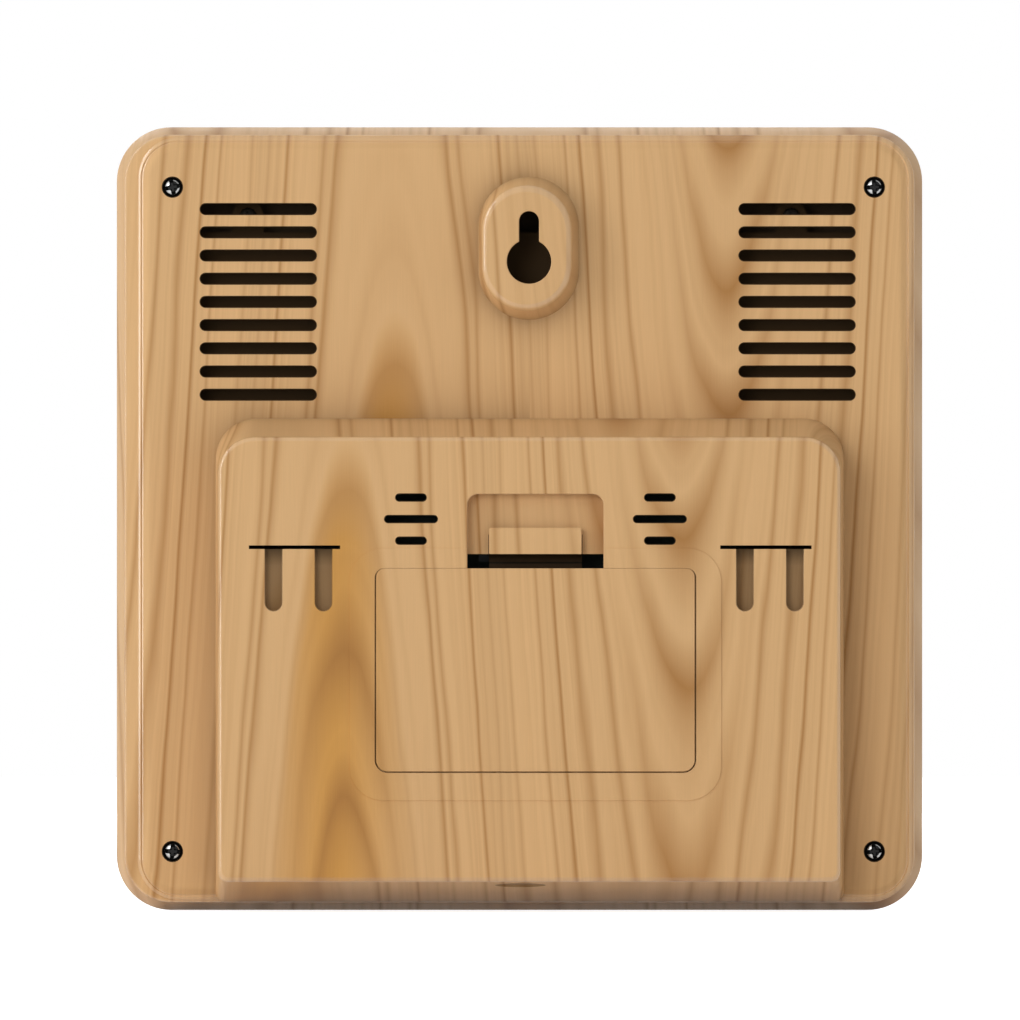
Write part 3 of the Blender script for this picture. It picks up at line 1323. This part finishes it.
class CLOCK_OT_stage(bpy.types.Operator):
    """Set up the floor, the lights and the camera"""
    bl_idname = "clock.stage"
    bl_label = "Stage"

    def execute(self, context):
        stage = context.scene.clock_stage
        context.scene.view_settings.view_transform = "Standard"
        self.floor()
        self.world(stage.room_light)
        self.lamp("key", (0.75, 2.3, 0.50), (0.8, 0.8), stage.key_power)
        self.lamp("side", (1.35, 0.60, 0.60), (0.18, 1.6), stage.side_power)
        self.lamp("front", (0.0, -2.5, 0.5), (1.2, 1.2), stage.front_power)
        self.lamp("fill", (-0.4, 2.6, 0.12), (1.4, 1.4), stage.fill_power)
        self.camera(stage.distance, stage.view_width)
        return {"FINISHED"}

    @staticmethod
    def camera(distance, view_width):
        """A long lens straight behind the clock."""
        camera = bpy.data.objects.new("camera", bpy.data.cameras.new("camera"))
        bpy.context.scene.collection.objects.link(camera)
        camera.location = (CAMERA_PLACE[0], distance, CAMERA_PLACE[1])
        camera.rotation_euler = (math.pi / 2, 0, math.pi)
        camera.data.sensor_width = SENSOR_WIDTH
        camera.data.lens = SENSOR_WIDTH * (distance + MEASURED_BEHIND) / view_width
        camera.data.clip_start = 0.01
        camera.data.clip_end = 50.0
        bpy.context.scene.camera = camera

    @staticmethod
    def lamp(name, at, size, power):
        """A rectangular light that looks at the middle of the clock."""
        data = bpy.data.lights.new(name, "AREA")
        data.shape = "RECTANGLE"
        data.size, data.size_y = size
        data.energy = power
        lamp = bpy.data.objects.new(name, data)
        bpy.context.scene.collection.objects.link(lamp)
        lamp.location = at
        away = CLOCK_MIDDLE - Vector(at)
        lamp.rotation_euler = away.to_track_quat("-Z", "Y").to_euler()

    @staticmethod
    def floor():
        """A pale floor that looks white but lights the clock only a little."""
        g = Graph(bpy.data.materials.new("pale_floor"), blank=True)
        diffuse = g.add("ShaderNodeBsdfDiffuse", {"Color": (0.9, 0.9, 0.9, 1)}).outputs[0]
        glow = g.add("ShaderNodeEmission", {"Strength": 0.75}).outputs[0]
        both = g.add("ShaderNodeAddShader", {0: diffuse, 1: glow}).outputs[0]
        seen = g.add("ShaderNodeMixShader", {0: g.sees_white(), 1: diffuse, 2: both}).outputs[0]
        g.add("ShaderNodeOutputMaterial", {"Surface": seen})
        bm = bmesh.new()
        bmesh.ops.create_grid(bm, x_segments=1, y_segments=1, size=4.0)
        bmesh.ops.translate(bm, vec=(0, 0, -0.0002), verts=bm.verts)
        mesh = bpy.data.meshes.new("floor")
        bm.to_mesh(mesh)
        bm.free()
        mesh.materials.append(g.owner)
        floor = bpy.data.objects.new("floor", mesh)
        bpy.context.scene.collection.objects.link(floor)

    @staticmethod
    def world(strength):
        """A white background, and a room that is brighter on the left and darker above."""
        g = Graph(bpy.data.worlds.new("studio"), blank=True)
        bpy.context.scene.world = g.owner
        looked_at = g.add("ShaderNodeTexCoord").outputs["Generated"]
        way = g.add("ShaderNodeSeparateXYZ", {"Vector": looked_at}).outputs
        level = g.math("MULTIPLY_ADD", way[0], 0.20 * strength, strength)
        level = g.math("MULTIPLY_ADD", way[2], -0.30 * strength, level)
        plain = (1, 1, 1, 1)
        room = g.add("ShaderNodeBackground", {"Strength": level, "Color": plain}).outputs[0]
        white = g.add("ShaderNodeBackground", {"Color": plain}).outputs[0]
        seen = g.add("ShaderNodeMixShader", {0: g.sees_white(), 1: room, 2: white}).outputs[0]
        g.add("ShaderNodeOutputWorld", {"Surface": seen})


class CLOCK_PT_panel(bpy.types.Panel):
    """Sizes, grain and stage of the clock, and the steps that build it"""
    bl_idname = "CLOCK_PT_panel"
    bl_label = "Weather Station Clock"
    bl_space_type = "VIEW_3D"
    bl_region_type = "UI"
    bl_category = "Clock"

    def draw(self, context):
        for group in (context.scene.clock_sizes, context.scene.clock_grain, context.scene.clock_stage):
            box = self.layout.box()
            for name in group.__annotations__:
                box.prop(group, name)
        for step in STEPS:
            self.layout.operator(step.bl_idname)


STEPS = (
    CLOCK_OT_stage, CLOCK_OT_rear_cover, CLOCK_OT_front_frame, CLOCK_OT_battery_door,
    CLOCK_OT_door_latch, CLOCK_OT_case_screws, CLOCK_OT_display, CLOCK_OT_battery_cells,
    CLOCK_OT_battery_contacts, CLOCK_OT_inner_parts,
)
GROUPS = {"clock_sizes": ClockSizes, "clock_grain": ClockGrain, "clock_stage": ClockStage}


def register():
    for kind in (*GROUPS.values(), *STEPS, CLOCK_PT_panel):
        bpy.utils.register_class(kind)
    for name, kind in GROUPS.items():
        setattr(bpy.types.Scene, name, PointerProperty(type=kind))


def unregister():
    for name in GROUPS:
        delattr(bpy.types.Scene, name)
    for kind in reversed((*GROUPS.values(), *STEPS, CLOCK_PT_panel)):
        bpy.utils.unregister_class(kind)


def main():
    register()
    for step in STEPS:
        group, name = step.bl_idname.split(".")
        getattr(getattr(bpy.ops, group), name)()


if __name__ == "__main__":
    main()
